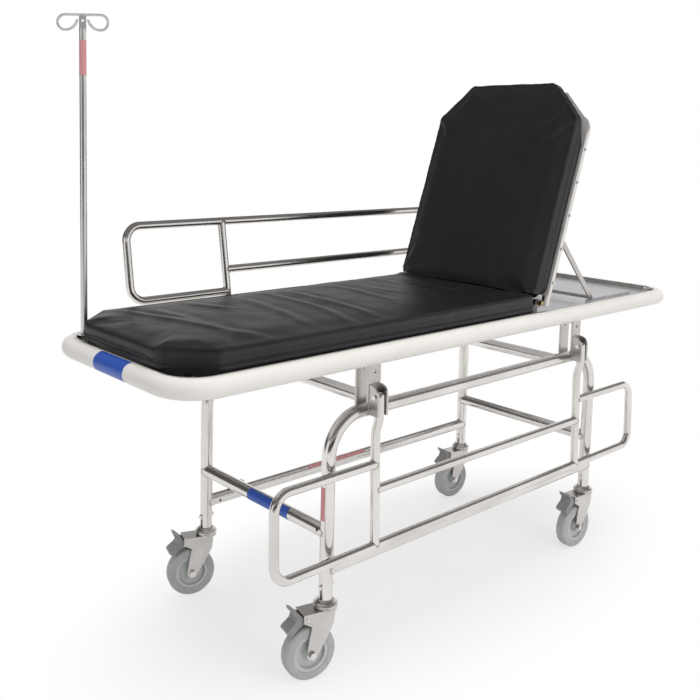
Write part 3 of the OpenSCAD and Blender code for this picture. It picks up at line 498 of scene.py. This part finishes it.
backLook = {
    "node": "back_pad", "body": "back",
    "place": Matrix.Translation((0.2706, 0, 0.775)) @ Matrix.Rotation(math.radians(-71.3), 4, "Y"),
    "voxel": 0.0065, "shrink": 0.002, "pressure": 4.0, "cap": 0.0050, "fill": 0.75,
    "sideSeam": 0.0253, "topSeam": 0.0500, "topSeamFrom": 0.03, "seamWidth": 0.0045, "seamDepth": 0.0005,
    "lean": 0.010, "leanFrom": -0.025, "leanOver": 0.02,
    "topStretch": {"by": 0.008, "start": 0.48, "over": 0.14},
    "footStretch": {"by": 0.018, "start": 0.025, "over": 0.07, "front": 0.012, "frontOver": 0.02},
    "square": 0.004, "edgeFrom": 0.16, "edgeOver": 0.08,
    "cornerTuck": 0.0105, "cornerFrom": 0.72, "cornerOver": 0.05,
    "lowest": -0.0043, "ends": (0.0020, 0.6550),
    "seatEnd": 0.2470,  # in the part's frame
    "sideCord": 0.0008, "topCord": 0.0017,
}
coverCloth = {
    "quality": 5, "mass": 0.3, "tension_stiffness": 18, "compression_stiffness": 18,
    "shear_stiffness": 8, "bending_stiffness": 0.6, "use_pressure": True, "vertex_group_mass": "held",
}
coverLook = {
    "weld": 0.00005, "frames": 20, "restBand": 0.003, "rimBand": 0.6, "rimHold": 0.8,
    "settle": 0.018, "settleFrom": 1.3, "roughFrom": 0.006,
    "topFrom": 0.55, "topOver": 0.35, "sideFrom": 0.2, "grooveFrom": 0.4, "sideOver": 0.5,
    "broadScale": 14.0, "broadHeight": 0.0012, "smallScale": 38.0, "smallHeight": 0.0005,
}
# strips across the seat, under the lower end of the back, in the part's frame
strip = {"from": 0.205, "to": 0.24, "half": 0.26, "wide": 0.013, "count": 40, "clear": 0.0006}
wrinkleLook = {"fade": 0.6, "dip": 0.55, "dipPlace": 1.7}
# wrinkles across the seat: points on the top (x, y), height and width, in millimetres
seatWrinkles = [
    ([(-830, 200), (-816, 138), (-781, -6), (-756, -133)], 3.4, 14),
    ([(-660, 190), (-644, 118), (-605, 27)], 2.8, 17),
    ([(-770, 160), (-760, 81), (-751, -152), (-700, -240)], 3.0, 18),
    ([(-410, 170), (-419, 55), (-427, -78), (-454, -220)], 4.0, 16),
    ([(-340, 180), (-348, 48), (-354, -71), (-361, -216)], 3.8, 16),
    ([(-175, 160), (-184, 49), (-200, -120)], 3.4, 16),
    ([(-505, 150), (-527, -9), (-561, -190)], 3.0, 18),
    ([(-110, 120), (-104, -5), (-85, -160)], 2.6, 19),
    ([(10, 190), (18, 40), (-5, -150)], 2.4, 18),
    ([(130, 200), (116, 101), (79, -81), (70, -190)], 3.2, 17),
]
# pulls near the top corner and the lower edge of the back, in its own plane
backWrinkles = [
    ([(560, -215), (520, -150), (500, -110)], 2.6, 11),
    ([(530, -235), (480, -180), (465, -140)], 2.2, 11),
    ([(590, -150), (560, -110)], 1.8, 11),
    ([(500, -240), (440, -200)], 1.8, 11),
    ([(420, -240), (370, -215), (340, -205)], 1.3, 14),
    ([(560, 215), (520, 160)], 1.6, 12),
    ([(60, -200), (48, -60), (52, 90), (60, 210)], 1.6, 14),
]


def ramp(value, start, over):
    return np.clip((value - start) / over, 0, 1)


def swellPad(pad, look):
    c = coverLook
    local = intoPlace(readMesh(pad.data, "co"), look["place"].inverted())
    rim = np.abs(local[:, 2] - look["sideSeam"]) < look["voxel"] * c["rimBand"]
    rests = local[:, 2] < look["lowest"] + look["shrink"] + c["restBand"]
    group = pad.vertex_groups.new(name="held")
    group.add([int(i) for i in np.nonzero(rests)[0]], 1.0, "REPLACE")
    group.add([int(i) for i in np.nonzero(rim & ~rests)[0]], c["rimHold"], "REPLACE")
    start = readMesh(pad.data, "co")
    cloth = pad.modifiers.new("vinylCover", "CLOTH")
    for key, value in coverCloth.items():
        setattr(cloth.settings, key, value)
    cloth.settings.uniform_pressure_force = look["pressure"]
    cloth.settings.effector_weights.gravity = 0
    cloth.collision_settings.use_collision = False
    cloth.point_cache.frame_start = 1
    cloth.point_cache.frame_end = c["frames"]
    for step in range(1, c["frames"] + 1):
        scene.frame_set(step)
    ready = pad.evaluated_get(bpy.context.evaluated_depsgraph_get())
    swollen = readMesh(ready.data, "co")
    pad.modifiers.remove(cloth)
    scene.frame_set(1)
    move = swollen - start
    far = np.linalg.norm(move, axis=1, keepdims=True)
    print("  swollen by up to", round(float(far.max()) * 1000, 1), "mm before the cap")
    moved = start + move * np.minimum(1, look["cap"] / np.maximum(far, 1e-9))
    # the underside goes back down to what it rests on
    local = intoPlace(moved, look["place"].inverted())
    height = local[:, 2] - look["lowest"]
    local[:, 2] -= look["shrink"] * np.clip(c["settleFrom"] - height / c["settle"], 0, 1)
    setPoints(pad.data, intoPlace(local, look["place"]))
    pad.vertex_groups.clear()


def wrinkleHeight(flat, wrinkles):
    c = wrinkleLook
    total = np.zeros(len(flat))
    for path, height, width in wrinkles:
        near = np.full(len(flat), 1e9)
        along = np.zeros(len(flat))
        sign = np.ones(len(flat))
        ends = [np.array(p) / 1000 for p in path]
        lengths = [np.linalg.norm(b - a) for a, b in zip(ends, ends[1:])]
        run = 0.0
        for a, b, length in zip(ends, ends[1:], lengths):
            step = (b - a) / length
            t = np.clip((flat - a) @ step, 0, length)
            gap = flat - (a + t[:, None] * step)
            distance = np.linalg.norm(gap, axis=1)
            closer = distance < near
            near = np.where(closer, distance, near)
            along = np.where(closer, (run + t) / sum(lengths), along)
            sign = np.where(closer, np.sign(gap @ np.array((-step[1], step[0]))), sign)
            run += length
        w = width / 1000
        fade = np.sin(np.pi * np.clip(along, 0, 1)) ** c["fade"]
        dip = c["dip"] * np.exp(-((near - c["dipPlace"] * w) / w) ** 2) * (sign > 0)
        total += fade * (np.exp(-(near / w) ** 2) - dip) * height / 1000
    return total


# the foot end rolls over in one soft curve
def rollFoot(local, look):
    r = look["rollRadius"]
    dx = look["rollEnd"] + r - local[:, 0]
    dz = local[:, 2] - (look["rollTop"] - r)
    far = np.hypot(dx, dz)
    outside = (dx > 0) & (dz > 0) & (far > r)
    ease = ramp(look["rollHalf"] - np.abs(local[:, 1]), 0, look["rollEase"])
    pull = np.where(outside, (1 - r / np.maximum(far, 1e-9)) * ease, 0)
    local[:, 0] += dx * pull
    local[:, 2] -= dz * pull


# behind its side seam the back's cover stands square, but draws in at the top corners
def shapeRear(local, look):
    behind = np.clip((look["sideSeam"] - local[:, 2]) / (look["sideSeam"] - look["lowest"]), 0, 1)
    edge = ramp(np.abs(local[:, 1]), look["edgeFrom"], look["edgeOver"])
    corner = ramp(local[:, 0] + np.abs(local[:, 1]), look["cornerFrom"], look["cornerOver"])
    way = np.sign(local[:, 1])
    local[:, 1] += way * look["square"] * behind ** 2 * edge * (1 - corner)
    local[:, 1] -= way * look["cornerTuck"] * behind * corner
    local[:, 0] -= look["cornerTuck"] * behind * corner


def stripOf(y):
    return np.clip(((y + strip["half"]) / strip["wide"]).astype(int), 0, strip["count"] - 1)


# highest points of the seat under the back
def seatHeights(pad):
    points = readMesh(pad.data, "co")
    under = points[(points[:, 0] > strip["from"]) & (points[:, 0] < strip["to"])]
    highest = np.full(strip["count"], under[:, 2].min())
    np.maximum.at(highest, stripOf(under[:, 1]), under[:, 2])
    return highest


# the seat's head end fills up below the back
def fillHead(local, look):
    stretch, rise = look["headStretch"], look["headRaise"]
    local[:, 0] += stretch["by"] * ramp(local[:, 0], stretch["start"], stretch["over"])
    local[:, 2] += rise["by"] * ramp(local[:, 0], rise["start"], rise["over"]) * (local[:, 2] > rise["above"])


# the lower end of the back comes down on the seat
def restBack(local, look, seat):
    top, foot = look["topStretch"], look["footStretch"]
    local[:, 0] += top["by"] * ramp(local[:, 0], top["start"], top["over"])
    front = ramp(local[:, 2], foot["front"], foot["frontOver"])
    local[:, 0] -= foot["by"] * (1 - ramp(local[:, 0], foot["start"], foot["over"])) * front
    world = intoPlace(local, look["place"])
    rest = seatHeights(seat)[stripOf(world[:, 1])] + strip["clear"]
    over = (world[:, 0] < look["seatEnd"]) & (world[:, 2] < rest)
    world[:, 2] = np.where(over, rest, world[:, 2])
    local[:] = intoPlace(world, look["place"].inverted())


def keepClear(local, look):
    local[:, 2] = np.maximum(local[:, 2], look["lowest"])
    local[:, 0] = np.clip(local[:, 0], *look["ends"])
    if "headTop" in look:  # under the backrest
        by = ramp(local[:, 0], look["headFrom"], look["headOver"])
        local[:, 2] = np.minimum(local[:, 2], look["headTop"] * by + look["topLimit"] * (1 - by))
    if "pole" in look:
        gap = local[:, :2] - np.array(look["pole"])
        far = np.linalg.norm(gap, axis=1, keepdims=True)
        local[:, :2] += gap * np.maximum(look["poleRoom"] / np.maximum(far, 1e-6) - 1, 0)


def looseCopy(obj, name):
    made = obj.copy()
    made.data = obj.data.copy()
    made.parent = None
    for key in list(made.keys()):
        del made[key]
    scene.collection.objects.link(made)
    made.name = name
    pick(made)
    return made


# sewn seams drawn in, wrinkles and small unevenness raised
def sewCover(local, normal, look, wrinkles):
    c = coverLook
    tilt = np.abs(normal[:, 2])
    side = 1 - ramp(tilt, c["sideFrom"], c["sideOver"])
    seam = np.exp(-((local[:, 2] - look["sideSeam"]) / look["seamWidth"]) ** 2)
    local -= normal * (seam * side * look["seamDepth"])[:, None]
    if "topGroove" in look:
        groove = np.exp(-((local[:, 2] - look["topSeam"]) / look["grooveWidth"]) ** 2)
        groove *= 1 - ramp(tilt, c["grooveFrom"], c["sideOver"])
        groove *= np.abs(local[:, 1]) > look["topSeamFrom"]
        local -= normal * (groove * look["topGroove"])[:, None]
    local[:, 2] += ramp(normal[:, 2], c["topFrom"], c["topOver"]) * wrinkleHeight(local[:, :2], wrinkles)
    broad = np.array([noise.noise(Vector(p) * c["broadScale"]) for p in local])
    small = np.array([noise.noise(Vector(p) * c["smallScale"]) for p in local])
    above = local[:, 2] > look["lowest"] + c["roughFrom"]
    local += normal * ((broad * c["broadHeight"] + small * c["smallHeight"]) * above)[:, None]
    if "lowBand" in look:  # the band under the side seam stands upright
        band = np.exp(-((local[:, 2] - look["lowBandAt"]) / look["lowBandWidth"]) ** 2)
        local += normal * (band * side * look["lowBand"])[:, None]


def makePad(name, look, wrinkles, seat=None):
    pad = looseCopy(nodes[look["node"]], name)
    faceOut(coverLook["weld"])
    useModifier(pad, "DISPLACE", {"strength": -look["shrink"], "mid_level": 0})
    pad.data.remesh_voxel_size = look["voxel"]
    bpy.ops.object.voxel_remesh()
    swellPad(pad, look)
    if "rollEnd" in look:
        local = intoPlace(readMesh(pad.data, "co"), look["place"].inverted())
        rollFoot(local, look)
        setPoints(pad.data, intoPlace(local, look["place"]))
    useModifier(pad, "SUBSURF", {"levels": 1, "render_levels": 1})
    local = intoPlace(readMesh(pad.data, "co"), look["place"].inverted())
    normal = readMesh(pad.data, "normal") @ np.array(look["place"])[:3, :3]
    sewCover(local, normal, look, wrinkles)
    if "square" in look:
        shapeRear(local, look)
    local[:, 1] += look["lean"] * ramp(local[:, 2], look["leanFrom"], look["leanOver"])
    if "headStretch" in look:
        fillHead(local, look)
    if seat:
        restBack(local, look, seat)
    keepClear(local, look)
    setPoints(pad.data, intoPlace(local, look["place"]))
    bpy.ops.object.shade_smooth()
    pad.data.materials.clear()
    pad.data.materials.append(vinyl)
    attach(pad, look["body"])
    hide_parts(look["node"])
    print(name, "made,", len(pad.data.polygons), "faces")
    return pad


# a seam is the pad's own outline at a cut, thickened
def seamCord(pad, look, name, point, normal, radius, keep=None):
    cord = looseCopy(pad, name)
    bpy.ops.object.mode_set(mode="EDIT")
    bpy.ops.mesh.select_all(action="SELECT")
    turn = look["place"].to_3x3()
    bpy.ops.mesh.bisect(plane_co=look["place"] @ Vector(point), plane_no=turn @ Vector(normal),
                        clear_inner=True, clear_outer=True)
    bpy.ops.mesh.select_all(action="DESELECT")
    bpy.ops.object.mode_set(mode="OBJECT")
    if keep:
        local = intoPlace(readMesh(cord.data, "co"), look["place"].inverted())
        for v, kept in zip(cord.data.vertices, keep(local)):
            v.select = not kept
        bpy.ops.object.mode_set(mode="EDIT")
        bpy.ops.mesh.delete(type="VERT")
        bpy.ops.object.mode_set(mode="OBJECT")
    cord.data.materials.clear()
    bpy.ops.object.convert(target="CURVE")
    cord = bpy.context.object
    cord.data.bevel_depth = radius
    cord.data.bevel_resolution = 2
    cord.data.use_fill_caps = True
    bpy.ops.object.convert(target="MESH")
    bpy.ops.object.shade_smooth()
    return bpy.context.object


def joinPieces(pieces, name, finish, body):
    bpy.ops.object.select_all(action="DESELECT")
    for p in pieces:
        p.select_set(True)
    bpy.context.view_layer.objects.active = pieces[0]
    if len(pieces) > 1:
        bpy.ops.object.join()
    made = bpy.context.object
    made.name = name
    made.data.materials.clear()
    made.data.materials.append(finish)
    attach(made, body)


seatPad = makePad("seatPad", seatLook, seatWrinkles)
backPad = makePad("backPad", backLook, backWrinkles, seatPad)


def sewSeat(c):
    low, high = c["uprightSpan"]
    cords = [
        seamCord(seatPad, c, "seatSideSeam", (0, 0, c["sideSeam"]), (0, 0, 1), c["sideCord"]),
        seamCord(seatPad, c, "seatTopSeam", (0, 0, c["topSeam"]), (0, 0, 1), c["topCord"],
                 lambda p: np.abs(p[:, 1]) > c["topSeamFrom"]),
    ]
    for end in (-1, 1):  # upright seams at the ends of the foot corner panels
        cords.append(seamCord(seatPad, c, "seatCorner", (c["cornerX"], 0, 0), (1, 0, 0), c["uprightCord"],
                              lambda p: (p[:, 1] * end > c["cornerY"]) & (p[:, 2] > low) & (p[:, 2] < high)))
        cords.append(seamCord(seatPad, c, "seatToe", (0, end * c["toeY"], 0), (0, 1, 0), c["uprightCord"],
                              lambda p: (p[:, 0] < c["toeX"]) & (p[:, 2] > low) & (p[:, 2] < high)))
    joinPieces(cords, "seatSeams", vinyl, "base")


def sewBack(c):
    cords = [
        seamCord(backPad, c, "backSideSeam", (0, 0, c["sideSeam"]), (0, 0, 1), c["sideCord"]),
        seamCord(backPad, c, "backFrontSeam", (0, 0, c["topSeam"]), (0, 0, 1), c["topCord"],
                 lambda p: p[:, 0] > c["topSeamFrom"]),
    ]
    joinPieces(cords, "backSeams", vinyl, "back")


sewSeat(seatLook)
sewBack(backLook)
print("pads and seams sewn")

# plain coloured bands: where the tube's centre line starts and ends, its radius, and the wrap
# in degrees round it, counted from the first direction towards the second
bands = {
    "bumperBand": {"ends": ((-0.943, 0.052, 0.734), (-0.943, -0.072, 0.734)), "radius": 0.022,
                   "round": ((-1, 0, 0), (0, 0, 1)), "wrap": (-50, 98), "finish": blueTape,
                   "body": "base", "slot": "bumper"},
    "crossTubeBand": {"ends": ((-legX, 0.040, crossTube), (-legX, -0.115, crossTube)), "radius": tubeRadius,
                      "round": ((-1, 0, 0), (0, 0, 1)), "wrap": (-75, 75), "finish": blueTape,
                      "body": "base", "slot": "polished_steel"},
    "poleBand": {"ends": ((*polePlace, 1.355), (*polePlace, 1.433)), "radius": 0.008,
                 "round": ((-0.66, -0.75, 0), (0.75, -0.66, 0)), "wrap": (-85, 85), "finish": redTape,
                 "body": "pole", "slot": "polished_steel"},
    "sideTubeBand": {"ends": ((-0.179, legY, lowTube), (0.053, legY, lowTube)), "radius": tubeRadius,
                     "round": ((0, -1, 0), (0, 0, 1)), "wrap": (36, 74), "finish": redTape,
                     "body": "base", "slot": "polished_steel"},
    "legBand": {"ends": ((-legX, -legY, 0.367), (-legX, -legY, 0.445)), "radius": tubeRadius,
                "round": ((1, 0, 0), (0, 1, 0)), "wrap": (150, 204), "finish": redTape,
                "body": "base", "slot": "polished_steel"},
}
bandLook = {"thick": 0.00025, "lift": 0.0001, "edge": 0.3, "across": 32, "along": 8, "sharp": 40}


def makeBand(name, b):
    start, stop = [Vector(p) for p in b["ends"]]
    first, second = [Vector(p).normalized() for p in b["round"]]
    low, high = [math.radians(a) for a in b["wrap"]]
    thick = bandLook["thick"]
    middle = b["radius"] + bandLook["lift"] + thick / 2
    bpy.ops.object.select_all(action="DESELECT")
    bpy.ops.mesh.primitive_grid_add(x_subdivisions=bandLook["across"],
                                    y_subdivisions=bandLook["along"], size=1)
    band = bpy.context.object
    for v in band.data.vertices:
        t = low + (v.co.x + 0.5) * (high - low)
        out = first * math.cos(t) + second * math.sin(t)
        v.co = start + (stop - start) * (v.co.y + 0.5) + out * middle
    useModifier(band, "SOLIDIFY", {"thickness": thick, "offset": 0})
    useModifier(band, "BEVEL", {"width": thick * bandLook["edge"], "segments": 1, "limit_method": "ANGLE"})
    faceOut()
    bpy.ops.object.shade_smooth_by_angle(angle=math.radians(bandLook["sharp"]))
    joinPieces([band], name, b["finish"], b["body"])


for name, b in bands.items():
    makeBand(name, b)
print(len(bands), "bands wrapped")

# weld beads at the tube joints: crossing of the centre lines, way of the joining tube,
# and way of the tube it meets
beadLook = {"width": 0.0017, "turns": 48, "sides": 8, "railRadius": 0.011}
railLook = {"pivot": (0.278, 0.640), "post": 0.418, "step": 0.012, "up": 9.4, "down": 1.5,
            "top": 0.356, "middle": 0.222, "loop": 0.1615}


def makeBead(place, way, main, radius):
    way, main = Vector(way), Vector(main)
    across = way.cross(main)
    bpy.ops.object.select_all(action="DESELECT")
    bpy.ops.mesh.primitive_torus_add(major_radius=radius, minor_radius=beadLook["width"],
                                     major_segments=beadLook["turns"], minor_segments=beadLook["sides"])
    ring = bpy.context.object
    for v in ring.data.vertices:  # the ring is laid over the tube it meets
        rise = math.sqrt(max(radius ** 2 - v.co.x ** 2, 0))
        v.co = Vector(place) + across * v.co.x + main * v.co.y + way * (v.co.z + rise)
    faceOut()
    bpy.ops.object.shade_smooth()
    return ring


def frameBeads():
    made = []
    r = tubeRadius
    for sx in (-1, 1):
        for sy in (-1, 1):
            made.append(makeBead((sx * legX, sy * legY, lowTube), (-sx, 0, 0), (0, 0, 1), r))
            made.append(makeBead((sx * legX, sy * legY, crossTube), (0, -sy, 0), (0, 0, 1), r))
            made.append(makeBead((sx * upperX, sy * legY, upperTube), (0, -sy, 0), (1, 0, 0), r))
    joinPieces(made, "frameWelds", bead, "base")


def railBeads(name, body, side, angle):
    c = railLook
    t = math.radians(angle)
    up = Vector((0, side * math.sin(t), math.cos(t)))  # along the posts, away from the pivot
    out = Vector((0, side * math.cos(t), -math.sin(t)))  # way of the step
    base = Vector((0, side * c["pivot"][0], c["pivot"][1])) + out * c["step"]
    made = []
    for sx in (-1, 1):
        post = base + Vector((sx * c["post"], 0, 0))
        made.append(makeBead(post + up * c["top"], -up, (1, 0, 0), beadLook["railRadius"]))
        made.append(makeBead(post + up * c["middle"], (-sx, 0, 0), up, beadLook["railRadius"]))
        made.append(makeBead(post + up * c["loop"], (sx, 0, 0), up, beadLook["railRadius"]))
    joinPieces(made, name, bead, body)


frameBeads()
railBeads("farRailWelds", "rail_far", 1, railLook["up"])
railBeads("nearRailWelds", "rail_near", -1, 180 - railLook["down"])
print("welds laid")

# vent holes drilled in the tubes: a dished disc on the tube's skin, near black as painted shade for the
# inside of each hole
vents = [
    {"tube": ((-legX, legY, 0.335), (0, 0, 1)), "way": (-0.63, -0.78, 0), "size": 0.0034},
    {"tube": ((-0.5007, legY, lowTube), (1, 0, 0)), "way": (0, -1, -0.09), "size": 0.0034},
    {"tube": ((-legX, -0.221, crossTube), (0, 1, 0)), "way": (-0.97, 0, 0.22), "size": 0.0036},
    {"tube": ((legX, -0.221, crossTube), (0, 1, 0)), "way": (0.97, 0, 0.22), "size": 0.0036},
]
ventLook = {"turns": 28, "rim": 0.2, "dish": 0.3, "lift": 0.00018, "lip": 0.00012,
            "lipAt": 0.8, "lipWide": 0.2, "thick": 0.00016, "sharp": 40}


def makeVent(v):
    c = ventLook
    centre, axis = [Vector(p) for p in v["tube"]]
    way = Vector(v["way"]).normalized()
    across = axis.cross(way)
    bpy.ops.object.select_all(action="DESELECT")
    bpy.ops.mesh.primitive_circle_add(vertices=c["turns"], radius=v["size"], fill_type="NGON")
    disc = bpy.context.object
    bpy.ops.object.mode_set(mode="EDIT")
    bpy.ops.mesh.select_all(action="SELECT")
    bpy.ops.mesh.inset(thickness=v["size"] * c["rim"])
    bpy.ops.mesh.inset(thickness=v["size"] * c["dish"])
    bpy.ops.object.mode_set(mode="OBJECT")
    for p in disc.data.vertices:
        edge = math.hypot(p.co.x, p.co.y) / v["size"]
        raised = max(0.0, 1 - abs(edge - c["lipAt"]) / c["lipWide"])
        height = tubeRadius + c["lift"] + c["lip"] * raised
        turn = p.co.x / tubeRadius
        p.co = centre + axis * p.co.y + (way * math.cos(turn) + across * math.sin(turn)) * height
    useModifier(disc, "SOLIDIFY", {"thickness": c["thick"], "offset": 0})
    faceOut()
    bpy.ops.object.shade_smooth_by_angle(angle=math.radians(c["sharp"]))
    return disc


joinPieces([makeVent(v) for v in vents], "tubeVentShade", holeShadePaint, "base")
print("vents drilled")

# pressed cover over each swivel race: outline as radius and height, in millimetres
raceLook = {
    "outline": [(16.3, 172.2), (16.3, 179.6), (17.4, 180.2), (19.4, 179.4), (21.4, 177.2), (22.8, 174.8),
                (24.6, 173.5), (26.8, 172.6), (28.1, 171.0), (28.5, 169.2), (28.1, 167.5), (27.6, 166.7),
                (28.1, 165.8), (28.4, 164.4), (28.0, 163.0), (27.2, 162.2), (27.2, 172.2), (16.3, 172.2)],
    "turns": 64, "weld": 0.00001, "sharp": 50,
    "places": [(x, y) for x in (-legX, legX) for y in (-legY, legY)],
}


def makeRace(x, y):
    outline = raceLook["outline"]
    steps = len(outline) - 1
    bpy.ops.object.select_all(action="DESELECT")
    bpy.ops.mesh.primitive_grid_add(x_subdivisions=raceLook["turns"], y_subdivisions=steps, size=1)
    race = bpy.context.object
    for v in race.data.vertices:
        turn = (v.co.x + 0.5) * 2 * math.pi
        r, z = outline[round((v.co.y + 0.5) * steps)]
        v.co = Vector((x + math.cos(turn) * r / 1000, y + math.sin(turn) * r / 1000, z / 1000))
    faceOut(raceLook["weld"])
    bpy.ops.object.shade_smooth_by_angle(angle=math.radians(raceLook["sharp"]))
    return race


races = [makeRace(x, y) for x, y in raceLook["places"]]
joinPieces(races, "swivelCovers", steelPressed, "base")
print("swivel covers pressed")
